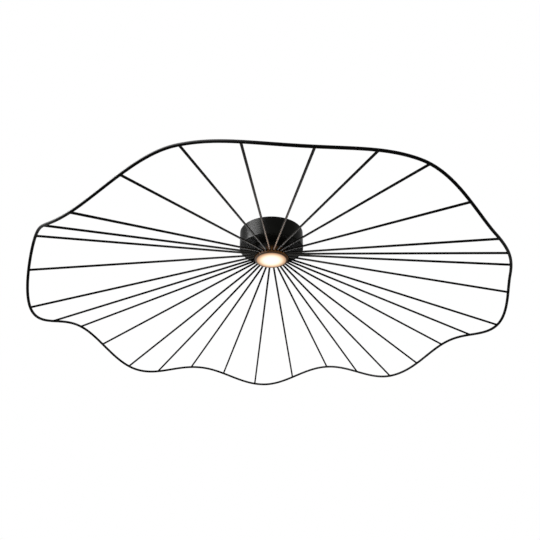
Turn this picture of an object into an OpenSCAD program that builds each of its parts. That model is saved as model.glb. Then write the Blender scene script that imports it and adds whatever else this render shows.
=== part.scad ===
// Ceiling light: a canopy, a drum with a lit disc in its mouth, and straight rods that carry one
// wavy hoop. The origin lies on the ceiling at the middle of the canopy. +Z is up, -Y is the front.

/* [Hoop] */
// Diameter of the hoop, to the middle of its rod
hoop_d = 1000; // [800:10:1200]
// Thickness of the hoop's rod
hoop_rod_d = 5.5; // [5:0.5:8]
// Drop from the rods' seats to the mean crest
crest_drop = 96; // [70:1:120]
// Further drop from the mean crest to the mean dip
wave_drop = 42; // [20:1:60]

/* [Rods] */
// Thickness of a rod
rod_d = 4.5; // [3:0.5:4.5]
// Depth of a rod's seat in the drum's wall
seat_depth = 2; // [1:0.2:2]
// Width of the weld round a rod's outer end
weld_w = 0.4; // [0.1:0.1:0.5]

/* [Canopy] */
// Diameter of the canopy
canopy_d = 147; // [144:1:180]
// Depth of the canopy
canopy_h = 44; // [42:1:60]
// Thickness of the canopy's sheet
canopy_wall = 1.2; // [0.8:0.1:1.6]
// Radius of the canopy's lower edge
canopy_edge_r = 2.5; // [2:0.5:5]

/* [Drum] */
// Diameter of the drum
drum_d = 77; // [76:1:86]
// Depth of the drum
drum_h = 26; // [25.5:0.5:32]
// Thickness of the drum's wall
drum_wall = 6.5; // [6:0.5:7]
// Thickness of the drum's top
drum_top = 8; // [7.5:0.5:9]
// Height of the rods' seats over the drum's mouth
seat_rise = 5; // [5:0.5:9]

/* [Lamp] */
// Diameter of the lit disc
lit_d = 68.6; // [66:0.2:69]
// How far the lit disc stands out of the bezel
lit_proud = 0.6; // [0.2:0.1:2]
// Rise of the lit disc's dome
dome_rise = 0.6; // [0.2:0.1:2]
// Diameter of the board
board_d = 60; // [56:1:61]
// Thickness of the board
board_t = 1.6; // [1:0.2:2]
// Width of one light-emitting package
chip_w = 3; // [2:0.5:3.5]

/* [Hanger tube] */
// Outer diameter of the threaded tube
tube_d = 10; // [8:0.5:10]
// Bore of the threaded tube
tube_bore_d = 7; // [5.5:0.5:7]
// Width across the flats of its nuts
tube_nut_af = 14; // [13:0.5:16]
// Thickness of its nuts
tube_nut_h = 3; // [2:0.5:3]

/* [Bracket] */
// Width of the strip on the ceiling
bracket_w = 20; // [16:1:24]
// Thickness of the strip
bracket_t = 2; // [1.5:0.5:2.5]
// Depth of its turned-down ears
ear_h = 16; // [14:1:20]
// Distance between the ceiling slots
slot_spacing = 72; // [66:1:80]
// Length of a ceiling slot, end to end
slot_l = 20; // [12:1:22]
// Width of a ceiling slot
slot_w = 5; // [4:0.5:6]

/* [Supply] */
// Length of the supply's case
driver_l = 84; // [70:1:84]
// Width of the supply's case
driver_w = 30; // [24:1:30]
// Height of the supply's tray
driver_h = 18; // [16:1:20]
// Wall of the supply's case
driver_wall = 1.6; // [1.2:0.2:2]
// Thickness of a lead, over its insulation
lead_d = 2.2; // [1.8:0.1:2.4]

/* [Hidden] */
$fn = 64;
waves = 8;
rods_per_wave = 4;
rods = waves * rods_per_wave;
pitch = 360 / rods;
first_azimuth = 253.125;

// The node to draw, or all of them

// The hoop is bent by hand, so each crest and dip stands a little off the regular wave.
// These say how far, in millimetres up, in millimetres outwards, and in rods along the hoop.
crest_up = [24, 15, -19, -23, -3, -13, -5, 6];
dip_up = [38, 8, -11, -19, -8, -17, -15, -2];
crest_out = [-6, 5, -6, -3, 6, 0, -1, -1];
dip_out = [6, -6, 6, 5, 1, -6, 6, 6];
crest_along = [0, -0.1, 0.1, -0.2, -0.1, -0.4, -0.3, 0];
// How far each rod is set off its even place round the drum, in degrees
rod_set = [0.5, 0.5, 1.5, 1.5, 1, 1, 2.5, -0.5, -4.5, -3, -1, 0, 0.5, 0, -1, -1,
    -2, -1.5, 0, -0.5, -0.5, 0, -0.5, -1, -2.5, -1.5, 1, 1, 1, -1, 0.5, 0.5];

steel_black = [0.09, 0.09, 0.09];
zinc = [0.72, 0.73, 0.74];
opal = [1, 0.93, 0.82];

// Room left where pieces pass or seat
rod_gap = 0.1;
weld_gap = 0.15;
thread_gap = 0.05;
hole_gap = 0.2;
seat_gap = 0.1;
lead_gap = 0.3;
// How far a cutter reaches past what it cuts
cut = 1;
// Share of a screw head's width at its face, and of its size that the socket takes
head_taper = 0.8;
drive_share = 0.6;
// How much shorter a screw is than the pieces that it goes through
screw_short = 0.4;

canopy_r = canopy_d / 2;
canopy_in_r = canopy_r - canopy_wall;
canopy_floor = -canopy_h + canopy_wall;
canopy_in_round = canopy_edge_r - canopy_wall + 0.4;

// The hoop's skin, the step at which its run is taken, and the cone of a rod's weld
rings_per_rod = 9;
hoop_sides = 12;
run_step = 0.05;
weld_l = 1.5;
cope_l = 18;

// The drum hangs straight under the canopy, with a step in its mouth for the disc
drum_r = drum_d / 2;
drum_z = -canopy_h;
drum_in_r = drum_r - drum_wall;
drum_floor = drum_z - drum_top;
drum_mouth = drum_z - drum_h;
drum_edge = 0.6;
step_wall = 2.3;
step_r = drum_r - step_wall;
step_depth = 3;
seat_z = drum_mouth + seat_rise;

// The disc's stack, from the step down: reflector flange, disc flange, bezel spigot
reflector_t = 0.8;
reflector_z = drum_mouth + step_depth - seat_gap;
disc_flange_t = 1.2;
disc_z = reflector_z - reflector_t - seat_gap;
bezel_t = 1;
bezel_chamfer = 0.7;
bezel_lip_r = lit_d / 2 + hole_gap;
spigot_top = disc_z - disc_flange_t - seat_gap;
flange_r = step_r - hole_gap;
lit_z = drum_mouth - bezel_t - lit_proud;
dome_steps = 6;
reflector_foot = 4;

// The board and what holds it
pad_t = 0.3;
pad_margin = 1;
board_z = drum_floor - pad_t;
board_face = board_z - board_t;
board_hole_d = 8;
board_screw_d = 3;
board_screw_pcd = 46;
board_screw_l = 7;
board_hole_l = board_screw_l - pad_t - board_t + screw_short;
board_screws_n = 3;
screw_head_d = 5.5;
screw_head_h = 2;
chip_h = 0.7;
chip_rings = [[6, 10], [12, 18.5]];

// The hanger tube's stack in the canopy and in the pocket in the drum's top
washer_t = 1;
washer_d = 20;
pocket_d = 22;
pocket_roof = 3;
pocket_top = drum_z - pocket_roof;
tube_over = 1.5;
tube_under = 0.5;
tube_top = canopy_floor + washer_t + tube_nut_h + tube_over;
tube_end = pocket_top - washer_t - tube_nut_h - tube_under;

// The bracket's ears stand just inside the canopy's wall
ear_gap = 1;
ear_x = sqrt(pow(canopy_in_r - ear_gap, 2) - pow(bracket_w / 2, 2));
bend_r = 1;
ear_screw_z = -10;
ear_screw_d = 4;
ear_screw_l = 9;
ear_screw_sink = 0.2;
ear_screw_point = 1;
socket_af = 2;
socket_h = 2.2;
tab_w = 46;
tab_y = -40;
earth_x = 14;
earth_screw_d = 4;
collar_d = 8;
collar_h = 2;
earth_ring_t = 0.8;
earth_ring_d = 8.5;
earth_ring_z = -bracket_t - collar_h;
earth_head_d = 8;
earth_head_h = 3;
crimp_d = 3.8;
crimp_l = 4;
neck_w = 3;
neck_l = 4;

// The terminal block hangs under the bracket's tab
poles = 3;
pole_step = 12;
block_y = -30;
block_w = 16;
block_l = 44;
block_base = 3;
tower_l = 32;
tower_h = 14;
tower_gap = 3;
tower_slot_h = 6;
pole_bore_d = 3.2;
pole_z = -bracket_t - 10;
clamp_d = 3;
clamp_h = 2.5;
clamp_step = 8;
clamp_slot_w = 0.6;
clamp_slot_h = 0.8;
fixing_x = 19;
fixing_d = 3;
fixing_head_d = 5;

// The supply stands on the canopy's floor, behind the tube, on two welded studs
driver_gap = 6.2;
driver_y = sqrt(pow(canopy_in_r - driver_gap, 2) - pow(driver_l / 2, 2)) - driver_w / 2;
driver_r = 2;
driver_in_r = 1;
driver_ear_l = 9;
driver_ear_w = 12;
driver_ear_t = 2;
driver_stud_x = driver_l / 2 + driver_ear_l / 2;
driver_stud_d = 3;
driver_stud_over = 1;
driver_nut_af = 5.5;
driver_nut_h = 2.4;
driver_stud_l = canopy_wall / 2 + driver_ear_t + driver_nut_h + driver_stud_over;
driver_lid_t = 2;
driver_lip = 1.5;
driver_top = canopy_floor + driver_h;
// The leads enter the case at two heights
live_rise = 14.8;
live_y = driver_y - 4;
live_z = canopy_floor + live_rise;
neutral_rise = 8.8;
neutral_y = driver_y + 4;
neutral_z = canopy_floor + neutral_rise;

// The leads' routes, chosen by hand, from the terminals to the supply and down the tube to the board.
// Where they turn into the case they keep a set gap to the canopy's wall.
lead_end = driver_l / 2 - driver_wall / 2;
lead_bend = driver_l / 2 + 10;
lead_in = 3;
lead_out = 6;
pole_end = block_y + block_w / 2 - lead_in;
pole_out = block_y + block_w / 2 + lead_out;
lead_pair = 1.5;
live_route = [[-pole_step, pole_end, pole_z], [-pole_step, pole_out, pole_z], [-18, -4, -17],
    [-34, 6, -22], [-52, 15, -26], by_wall(8.7, 156, live_z), [-lead_bend, live_y, live_z],
    [-lead_end, live_y, live_z]];
neutral_route = [[0, pole_end, pole_z], [0, pole_out, pole_z], [-6, -6, -22], [-26, 8, -30],
    [-50, 15, -35], by_wall(4.8, 154.5, neutral_z), [-lead_bend, neutral_y, neutral_z],
    [-lead_end, neutral_y, neutral_z]];
crimp_z = earth_ring_z - crimp_d / 2;
earth_route = [[pole_step, pole_end, pole_z], [pole_step, pole_out - 1, pole_z], [13, -13.5, -9],
    [earth_x - 0.2, -11, -6.4], [earth_x, -9.2, crimp_z], [earth_x, -7, crimp_z]];
plus_route = [[lead_end, live_y, live_z], [lead_bend, live_y, live_z], by_wall(9.5, 22.5, live_z),
    [46, 10, -26], [26, 4, -24], [12, 2, -25], [4, 0.5, -29], [lead_pair, 0, tube_top + 2],
    [lead_pair, 0, tube_top - 5], [lead_pair, 0, tube_end], [lead_pair, 0, board_z - 1]];
minus_route = [[lead_end, neutral_y, neutral_z], [lead_bend, neutral_y, neutral_z],
    by_wall(5.2, 24.5, neutral_z),
    [50, 6, -33], [26, -6, -29], [9, -8, -27], [0, -3, -30], [-lead_pair, 0, tube_top + 1],
    [-lead_pair, 0, tube_top - 5],
    [-lead_pair, 0, tube_end], [-lead_pair, 0, board_z - 1]];

function by_wall(gap, a, z) = [(canopy_in_r - gap) * cos(a), (canopy_in_r - gap) * sin(a), z];
function rod_name(k) = str("wire_", k < 9 ? "0" : "", k + 1);

// A value on the wave at u rods along the hoop, eased from each crest to the next dip and back
function crest_at(j) = j * rods_per_wave + crest_along[j % waves];
function lobe_of(u) = let (j = [for (i = [waves : -1 : 0]) if (u >= crest_at(i)) i]) len(j) > 0 ? j[0] : -1;
function wave(u, crest, dip) =
    let (v = u - rods * floor(u / rods), i = lobe_of(v), j = (i + waves) % waves,
        from = i < 0 ? crest_at(waves - 1) - rods : crest_at(j),
        to = i < 0 ? crest_at(0) : (j == waves - 1 ? crest_at(0) + rods : crest_at(j + 1)),
        w = i >= waves ? v - rods : v,
        s = (w - from) / (to - from),
        top = s < 0.5 ? crest[j] : crest[(j + 1) % waves])
    top + (dip[j] - top) * (1 - cos(360 * s)) / 2;
function hoop_z(u) = seat_z - crest_drop + wave(u, crest_up, [for (d = dip_up) d - wave_drop]);
function hoop_r(u) = hoop_d / 2 + wave(u, crest_out, dip_out);
function azimuth(u) = first_azimuth + pitch * u;
function hoop_point(u) = [hoop_r(u) * cos(azimuth(u)), hoop_r(u) * sin(azimuth(u)), hoop_z(u)];
function hoop_run(u) = unit(hoop_point(u + run_step) - hoop_point(u - run_step));

// Where rod k meets the hoop, in rods along it, and its line from the drum's outer face
function rod_u(k) = k + rod_set[k] / pitch;
function rod_fall(k) = atan2(seat_z - hoop_z(rod_u(k)), hoop_r(rod_u(k)) - drum_r);
function rod_l(k) = norm([hoop_r(rod_u(k)) - drum_r, seat_z - hoop_z(rod_u(k))]);

function unit(v) = v / norm(v);
function tilt(v) = [0, acos(v[2]), atan2(v[1], v[0])];

// A smooth run through hand-set points, and the tube round it
function between(a, b, c, d, s) =
    0.5 * (2 * b + (c - a) * s + (2 * a - 5 * b + 4 * c - d) * s * s + (3 * b - a - 3 * c + d) * s * s * s);
function smooth(p, steps) = let (n = len(p) - 1) concat(
    [for (i = [0 : n - 1]) for (s = [0 : steps - 1])
        between(p[max(i - 1, 0)], p[i], p[i + 1], p[min(i + 2, n)], s / steps)], [p[n]]);
function runs(p) = let (n = len(p) - 1) [for (i = [0 : n]) unit(p[min(i + 1, n)] - p[max(i - 1, 0)])];
function carry(side, run) = unit(side - (side * run) * run);
function sides_of(t) = let (start = abs(t[0][2]) < 0.9 ? [0, 0, 1] : [1, 0, 0])
    [for (i = 0, s = carry(start, t[0]); i < len(t); i = i + 1, s = i < len(t) ? carry(s, t[i]) : s) s];
function ring(c, run, side, d, n) = let (other = cross(run, side))
    [for (j = [0 : n - 1]) c + d / 2 * (cos(360 * j / n) * side + sin(360 * j / n) * other)];
function skin(rings, n, closed) = [for (i = [0 : rings - (closed ? 1 : 2)]) for (j = [0 : n - 1])
    let (a = i * n, b = ((i + 1) % rings) * n, m = (j + 1) % n)
    for (f = [[a + j, b + j, b + m], [a + j, b + m, a + m]]) f];

module lead(route, steps = 3, sides = 8) {
    p = smooth(route, steps);
    t = runs(p);
    s = sides_of(t);
    count = len(p);
    points = [for (i = [0 : count - 1]) each ring(p[i], t[i], s[i], lead_d, sides)];
    caps = [[for (j = [0 : sides - 1]) j], [for (j = [sides - 1 : -1 : 0]) (count - 1) * sides + j]];
    polyhedron(points, concat(caps, skin(count, sides, false)), convexity = 6);
}

module pipe(d, bore, h) {
    difference() {
        cylinder(d = d, h = h);
        translate([0, 0, -cut]) cylinder(d = bore, h = h + 2 * cut);
    }
}

module hex_nut(af, bore, h) {
    difference() {
        cylinder(d = af / cos(30), h = h, $fn = 6);
        translate([0, 0, -cut]) cylinder(d = bore, h = h + 2 * cut);
    }
}

// A pan head with a hexagon socket under z = 0, and a shank above it
module screw(d, shank, head_d, head_h) {
    cylinder(d = d, h = shank);
    difference() {
        translate([0, 0, -head_h]) cylinder(d1 = head_d * head_taper, d2 = head_d, h = head_h);
        translate([0, 0, -head_h - cut])
            cylinder(d = d * drive_share, h = cut + head_h * drive_share, $fn = 6);
    }
}

module round_rect(l, w, r) {
    square([l - 2 * r, w], center = true);
    square([l, w - 2 * r], center = true);
    for (x = [-1, 1], y = [-1, 1]) translate([x * (l / 2 - r), y * (w / 2 - r)]) circle(r);
}

// Puts its child on rod k's line, with +Z along the rod from the drum's outer face
module on_rod(k) {
    rotate([0, 0, azimuth(rod_u(k))]) translate([drum_r, 0, seat_z])
        rotate([0, 90 + rod_fall(k), 0]) children();
}

module rim() {
    count = rods * rings_per_rod;
    u = [for (i = [0 : count - 1]) i * rods / count];
    points = [for (v = u)
        let (run = hoop_run(v), out = carry([cos(azimuth(v)), sin(azimuth(v)), 0], run))
        each ring(hoop_point(v), run, out, hoop_rod_d, hoop_sides)];
    color(steel_black) polyhedron(points, skin(count, hoop_sides, true), convexity = 10);
}

module wire(k) {
    color(steel_black) difference() {
        on_rod(k) union() {
            translate([0, 0, -seat_depth]) cylinder(d = rod_d, h = seat_depth + rod_l(k));
            translate([0, 0, rod_l(k) - hoop_rod_d / 2 - weld_l])
                cylinder(d1 = rod_d, d2 = rod_d + 2 * weld_w, h = weld_l + hoop_rod_d / 2);
        }
        translate(hoop_point(rod_u(k))) rotate(tilt(hoop_run(rod_u(k))))
            cylinder(d = hoop_rod_d + 2 * weld_gap, h = cope_l, center = true);
    }
}

module canopy() {
    e = canopy_edge_r;
    in_e = canopy_in_round;
    color(steel_black) {
        difference() {
            rotate_extrude() difference() {
                translate([0, -canopy_h]) union() {
                    square([canopy_r - e, canopy_h]);
                    translate([0, e]) square([canopy_r, canopy_h - e]);
                    translate([canopy_r - e, e]) circle(e);
                }
                translate([0, canopy_floor]) union() {
                    square([canopy_in_r - in_e, canopy_h]);
                    translate([0, in_e]) square([canopy_in_r, canopy_h]);
                    translate([canopy_in_r - in_e, in_e]) circle(in_e);
                }
            }
            translate([0, 0, -canopy_h - cut])
                cylinder(d = tube_d + 2 * hole_gap, h = canopy_wall + 2 * cut);
            translate([0, 0, ear_screw_z]) rotate([0, 90, 0])
                cylinder(d = ear_screw_d + 2 * hole_gap, h = canopy_d + 2 * cut, center = true);
        }
        for (x = [-1, 1]) translate([x * driver_stud_x, driver_y, canopy_floor - canopy_wall / 2])
            cylinder(d = driver_stud_d, h = driver_stud_l);
    }
}

module hub_drum() {
    color(steel_black) difference() {
        rotate_extrude() polygon([[0, drum_z], [drum_r - drum_edge, drum_z], [drum_r, drum_z - drum_edge],
            [drum_r, drum_mouth], [step_r, drum_mouth], [step_r, drum_mouth + step_depth],
            [drum_in_r, drum_mouth + step_depth], [drum_in_r, drum_floor], [0, drum_floor]]);
        translate([0, 0, drum_floor - cut]) cylinder(d = tube_d + 2 * hole_gap, h = drum_top + 2 * cut);
        translate([0, 0, drum_floor - cut]) cylinder(d = pocket_d, h = cut + pocket_top - drum_floor);
        for (k = [0 : rods - 1]) on_rod(k) translate([0, 0, -seat_depth - seat_gap])
            cylinder(d = rod_d + 2 * rod_gap, h = seat_depth + drum_wall);
        board_screw_places() translate([0, 0, drum_floor - cut])
            cylinder(d = board_screw_d + 2 * thread_gap, h = cut + board_hole_l);
    }
}

module board_screw_places() {
    for (a = [0 : board_screws_n - 1]) rotate([0, 0, 90 + a * 360 / board_screws_n])
        translate([board_screw_pcd / 2, 0, 0]) children();
}

module bezel() {
    low = drum_mouth - bezel_t;
    color(steel_black) rotate_extrude() polygon([[bezel_lip_r, spigot_top], [flange_r, spigot_top],
        [flange_r, drum_mouth], [drum_r, drum_mouth], [drum_r, low + bezel_chamfer], [bezel_lip_r, low]]);
}

module diffuser() {
    dome = [for (i = [0 : dome_steps]) let (s = i / dome_steps)
        [s * lit_d / 2, lit_z - dome_rise * (1 - s * s)]];
    low = disc_z - disc_flange_t;
    color(opal) rotate_extrude()
        polygon(concat(dome, [[lit_d / 2, low], [flange_r, low], [flange_r, disc_z], [0, disc_z]]));
}

module reflector() {
    foot_r = board_d / 2 - reflector_foot;
    foot_z = board_face - seat_gap;
    head_r = drum_in_r - reflector_t - hole_gap;
    color("white") rotate_extrude() polygon([[foot_r, foot_z], [foot_r + reflector_t, foot_z],
        [head_r + reflector_t, reflector_z], [flange_r, reflector_z],
        [flange_r, reflector_z - reflector_t], [head_r, reflector_z - reflector_t]]);
}

module led_board() {
    color("whitesmoke") translate([0, 0, board_face]) difference() {
        cylinder(d = board_d, h = board_t);
        translate([0, 0, -cut]) cylinder(d = board_hole_d, h = board_t + 2 * cut);
        board_screw_places() translate([0, 0, -cut])
            cylinder(d = board_screw_d + 2 * hole_gap, h = board_t + 2 * cut);
    }
}

module led_chips() {
    color("gold") for (row = chip_rings) for (a = [0 : row[0] - 1])
        rotate([0, 0, (a + 0.25) * 360 / row[0]])
            translate([row[1] - chip_w / 2, -chip_w / 2, board_face - chip_h])
                cube([chip_w, chip_w, chip_h]);
}

module thermal_pad() {
    color("lightsteelblue") translate([0, 0, board_z]) difference() {
        cylinder(d = board_d - 2 * pad_margin, h = pad_t);
        translate([0, 0, -cut]) cylinder(d = pocket_d + 2 * pad_margin, h = pad_t + 2 * cut);
        board_screw_places() translate([0, 0, -cut])
            cylinder(d = board_screw_d + 2 * hole_gap, h = pad_t + 2 * cut);
    }
}

module board_screws() {
    color(zinc) board_screw_places() translate([0, 0, board_face])
        screw(board_screw_d, board_screw_l, screw_head_d, screw_head_h);
}

module hub_tube() {
    color(zinc) translate([0, 0, tube_end]) pipe(tube_d, tube_bore_d, tube_top - tube_end);
}

module tube_washers() {
    color(zinc) for (z = [canopy_floor, pocket_top - washer_t])
        translate([0, 0, z]) pipe(washer_d, tube_d + 2 * hole_gap, washer_t);
}

module tube_nuts() {
    color(zinc) for (z = [canopy_floor + washer_t, pocket_top - washer_t - tube_nut_h])
        translate([0, 0, z]) hex_nut(tube_nut_af, tube_d + 2 * thread_gap, tube_nut_h);
}

module slot_cut(l, w, h) {
    cube([l - w, w, h], center = true);
    for (x = [-1, 1]) translate([x * (l - w) / 2, 0, 0]) cylinder(d = w, h = h, center = true);
}

module ceiling_bracket() {
    outer = bend_r + bracket_t;
    color(zinc) difference() {
        union() {
            translate([0, 0, -bracket_t / 2])
                cube([2 * (ear_x - outer), bracket_w, bracket_t], center = true);
            for (side = [0, 180]) rotate([0, 0, side]) {
                translate([ear_x - bracket_t, -bracket_w / 2, -ear_h])
                    cube([bracket_t, bracket_w, ear_h - outer]);
                translate([ear_x - outer, bracket_w / 2, -outer]) rotate([90, 0, 0]) intersection() {
                    pipe(2 * outer, 2 * bend_r, bracket_w);
                    cube([outer, outer, bracket_w]);
                }
            }
            translate([-tab_w / 2, tab_y, -bracket_t])
                cube([tab_w, -tab_y - bracket_w / 2 + cut, bracket_t]);
            translate([earth_x, 0, -bracket_t - collar_h])
                cylinder(d = collar_d, h = collar_h + bracket_t / 2);
        }
        for (x = [-1, 1]) translate([x * slot_spacing / 2, 0, 0])
            slot_cut(slot_l, slot_w, 3 * bracket_t);
        translate([0, 0, ear_screw_z]) rotate([0, 90, 0])
            cylinder(d = ear_screw_d + 2 * thread_gap, h = canopy_d, center = true);
        translate([earth_x, 0, -bracket_t - collar_h - cut])
            cylinder(d = earth_screw_d + 2 * thread_gap, h = bracket_t + collar_h + 2 * cut);
        for (x = [-1, 1]) translate([x * fixing_x, block_y, -bracket_t - cut])
            cylinder(d = fixing_d + 2 * thread_gap, h = bracket_t + 2 * cut);
    }
}

module canopy_screws() {
    color(steel_black) for (side = [0, 180]) rotate([0, 0, side])
        translate([canopy_r - ear_screw_sink - ear_screw_l, 0, ear_screw_z]) rotate([0, 90, 0])
            difference() {
                union() {
                    cylinder(d1 = ear_screw_d / 2, d2 = ear_screw_d, h = ear_screw_point);
                    translate([0, 0, ear_screw_point])
                        cylinder(d = ear_screw_d, h = ear_screw_l - ear_screw_point);
                }
                translate([0, 0, ear_screw_l - socket_h])
                    cylinder(d = socket_af / cos(30), h = socket_h + cut, $fn = 6);
            }
}

module driver_case() {
    color("ivory") translate([0, driver_y, canopy_floor]) difference() {
        union() {
            linear_extrude(driver_h) round_rect(driver_l, driver_w, driver_r);
            translate([0, 0, driver_ear_t / 2])
                cube([driver_l + 2 * driver_ear_l, driver_ear_w, driver_ear_t], center = true);
        }
        translate([0, 0, driver_wall]) linear_extrude(driver_h)
            round_rect(driver_l - 2 * driver_wall, driver_w - 2 * driver_wall, driver_in_r);
        for (x = [-1, 1]) translate([x * driver_stud_x, 0, -cut])
            cylinder(d = driver_stud_d + 2 * hole_gap, h = driver_ear_t + 2 * cut);
        for (x = [-1, 1], end = [[live_y, live_z], [neutral_y, neutral_z]])
            translate([x * driver_l / 2, end[0] - driver_y, end[1] - canopy_floor]) rotate([0, 90, 0])
                cylinder(d = lead_d + 2 * lead_gap, h = 4 * driver_wall, center = true);
    }
}

module driver_lid() {
    lip_gap = 2 * (driver_wall + seat_gap);
    color("ivory") translate([0, driver_y, driver_top]) {
        linear_extrude(driver_lid_t) round_rect(driver_l, driver_w, driver_r);
        translate([0, 0, -driver_lip]) linear_extrude(driver_lip + driver_lid_t / 2)
            round_rect(driver_l - lip_gap, driver_w - lip_gap, driver_in_r);
    }
}

module driver_nuts() {
    color(zinc) for (x = [-1, 1]) translate([x * driver_stud_x, driver_y, canopy_floor + driver_ear_t])
        hex_nut(driver_nut_af, driver_stud_d + 2 * thread_gap, driver_nut_h);
}

module at_poles() {
    for (x = [-1 : poles - 2]) translate([x * pole_step, block_y, 0]) children();
}

module terminal_block() {
    color("white") difference() {
        union() {
            translate([-block_l / 2, block_y - block_w / 2, -bracket_t - block_base])
                cube([block_l, block_w, block_base]);
            translate([-tower_l / 2, block_y - block_w / 2, -bracket_t - tower_h])
                cube([tower_l, block_w, tower_h]);
        }
        for (x = [-1, 1]) translate([x * pole_step / 2, block_y, -bracket_t - tower_h])
            cube([tower_gap, block_w + 2 * cut, 2 * tower_slot_h], center = true);
        at_poles() {
            translate([0, 0, pole_z]) rotate([90, 0, 0])
                cylinder(d = pole_bore_d, h = block_w + 2 * cut, center = true);
            for (y = [-1, 1]) translate([0, y * clamp_step / 2, -bracket_t - tower_h - cut])
                cylinder(d = clamp_d + 2 * hole_gap, h = cut + tower_h + pole_z + bracket_t);
        }
        for (x = [-1, 1]) translate([x * fixing_x, block_y, -bracket_t - block_base - cut])
            cylinder(d = fixing_d + 2 * hole_gap, h = block_base + 2 * cut);
    }
}

module terminal_screws() {
    color("gold") at_poles() for (y = [-1, 1])
        translate([0, y * clamp_step / 2, pole_z - pole_bore_d / 2 - clamp_h - hole_gap]) difference() {
            cylinder(d = clamp_d, h = clamp_h);
            translate([-clamp_d, -clamp_slot_w / 2, -cut])
                cube([2 * clamp_d, clamp_slot_w, cut + clamp_slot_h]);
        }
}

module terminal_fixing_screws() {
    color(zinc) for (x = [-1, 1]) translate([x * fixing_x, block_y, -bracket_t - block_base])
        screw(fixing_d, block_base + bracket_t - screw_short, fixing_head_d, screw_head_h);
}

module earth_ring() {
    z = earth_ring_z - earth_ring_t;
    color("gold") translate([earth_x, 0, 0]) difference() {
        union() {
            translate([0, 0, z]) cylinder(d = earth_ring_d, h = earth_ring_t);
            translate([-neck_w / 2, -earth_ring_d / 2 - neck_l / 2, z])
                cube([neck_w, neck_l, earth_ring_t]);
            translate([0, -earth_ring_d / 2 - cut, crimp_z]) rotate([90, 0, 0])
                cylinder(d = crimp_d, h = crimp_l);
        }
        translate([0, 0, z - cut]) cylinder(d = earth_screw_d + 2 * hole_gap, h = earth_ring_t + 2 * cut);
        translate([0, -earth_ring_d / 2, crimp_z]) rotate([90, 0, 0])
            cylinder(d = lead_d + 2 * seat_gap, h = crimp_l + 2 * cut);
    }
}

module earth_screw() {
    color(zinc) translate([earth_x, 0, earth_ring_z - earth_ring_t])
        screw(earth_screw_d, earth_ring_t + collar_h + bracket_t - screw_short, earth_head_d, earth_head_h);
}

module live_lead() { color("saddlebrown") lead(live_route); }
module neutral_lead() { color("royalblue") lead(neutral_route); }
module earth_lead() { color("limegreen") lead(earth_route); }
module led_lead_plus() { color("crimson") lead(plus_route); }
module led_lead_minus() { color("dimgray") lead(minus_route); }

rim();
for (k = [0 : rods - 1]) wire(k);
canopy();
hub_drum();
bezel();
diffuser();
reflector();
led_board();
led_chips();
thermal_pad();
board_screws();
hub_tube();
tube_washers();
tube_nuts();
ceiling_bracket();
canopy_screws();
driver_case();
driver_lid();
driver_nuts();
terminal_block();
terminal_screws();
terminal_fixing_screws();
earth_ring();
earth_screw();
live_lead();
neutral_lead();
earth_lead();
led_lead_plus();
led_lead_minus();
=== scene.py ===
# LED ceiling light: a black canopy, a drum with a lit opal disc, and rods that carry one wavy hoop
import math

import bpy
import numpy as np
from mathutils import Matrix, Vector


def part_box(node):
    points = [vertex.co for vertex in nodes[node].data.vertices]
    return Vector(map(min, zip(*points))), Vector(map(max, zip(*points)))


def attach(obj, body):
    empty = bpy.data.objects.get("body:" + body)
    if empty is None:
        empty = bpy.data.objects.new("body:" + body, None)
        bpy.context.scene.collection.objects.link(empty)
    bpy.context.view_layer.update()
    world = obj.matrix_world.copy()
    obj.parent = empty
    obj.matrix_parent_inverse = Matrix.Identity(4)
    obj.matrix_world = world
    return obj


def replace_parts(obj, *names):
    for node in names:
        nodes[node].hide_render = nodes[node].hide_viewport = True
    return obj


print("frame: loading the packed light")
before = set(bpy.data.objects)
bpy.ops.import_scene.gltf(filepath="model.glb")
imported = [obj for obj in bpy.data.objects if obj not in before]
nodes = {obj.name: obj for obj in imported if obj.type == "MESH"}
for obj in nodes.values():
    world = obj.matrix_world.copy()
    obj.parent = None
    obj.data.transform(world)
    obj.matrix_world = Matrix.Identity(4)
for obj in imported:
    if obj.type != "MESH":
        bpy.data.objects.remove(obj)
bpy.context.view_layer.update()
mm = 0.001
scene = bpy.context.scene


# Colour from an sRGB hex value to linear
def hexColour(code):
    srgb = [int(code[i:i + 2], 16) / 255 for i in (1, 3, 5)]
    return [c / 12.92 if c < 0.04045 else ((c + 0.055) / 1.055) ** 2.4 for c in srgb] + [1.0]


# Adds one shader node with its settings, and gives each input a value or a link
def addNode(tree, kind, settings, inputs):
    node = tree.nodes.new("ShaderNode" + kind)
    for name, value in settings.items():
        setattr(node, name, value)
    for name, value in inputs.items():
        if isinstance(value, bpy.types.NodeSocket):
            tree.links.new(value, node.inputs[name])
        else:
            node.inputs[name].default_value = value
    return node


# A new material: its tree, its shader and its Object coordinates in metres
def startMaterial(name, shaderValues):
    material = bpy.data.materials.new(name)
    material.use_nodes = True
    tree = material.node_tree
    shader = tree.nodes["Principled BSDF"]
    for key, value in shaderValues.items():
        shader.inputs[key].default_value = value
    place = addNode(tree, "TexCoord", {}, {}).outputs["Object"]
    return material, tree, shader, place


# Noise whose grain has the given size in millimetres. Nearly all of the raw noise lies between 0.3 and 0.7,
# and that is spread from low to high.
def grain(tree, place, sizeMm, low, high, detail=3.0):
    noise = addNode(tree, "TexNoise", {}, {"Vector": place, "Scale": 1000 / sizeMm, "Detail": detail})
    spread = addNode(tree, "MapRange", {}, {"Value": noise.outputs["Fac"], "From Min": 0.3, "From Max": 0.7,
                                            "To Min": low, "To Max": high})
    return spread.outputs["Result"]


# The same pattern drawn out along one direction, as brushing or extruding leaves it
def stretched(tree, place, factors):
    mapping = addNode(tree, "Mapping", {"vector_type": "POINT"}, {"Vector": place, "Scale": factors})
    return mapping.outputs["Vector"]


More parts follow.
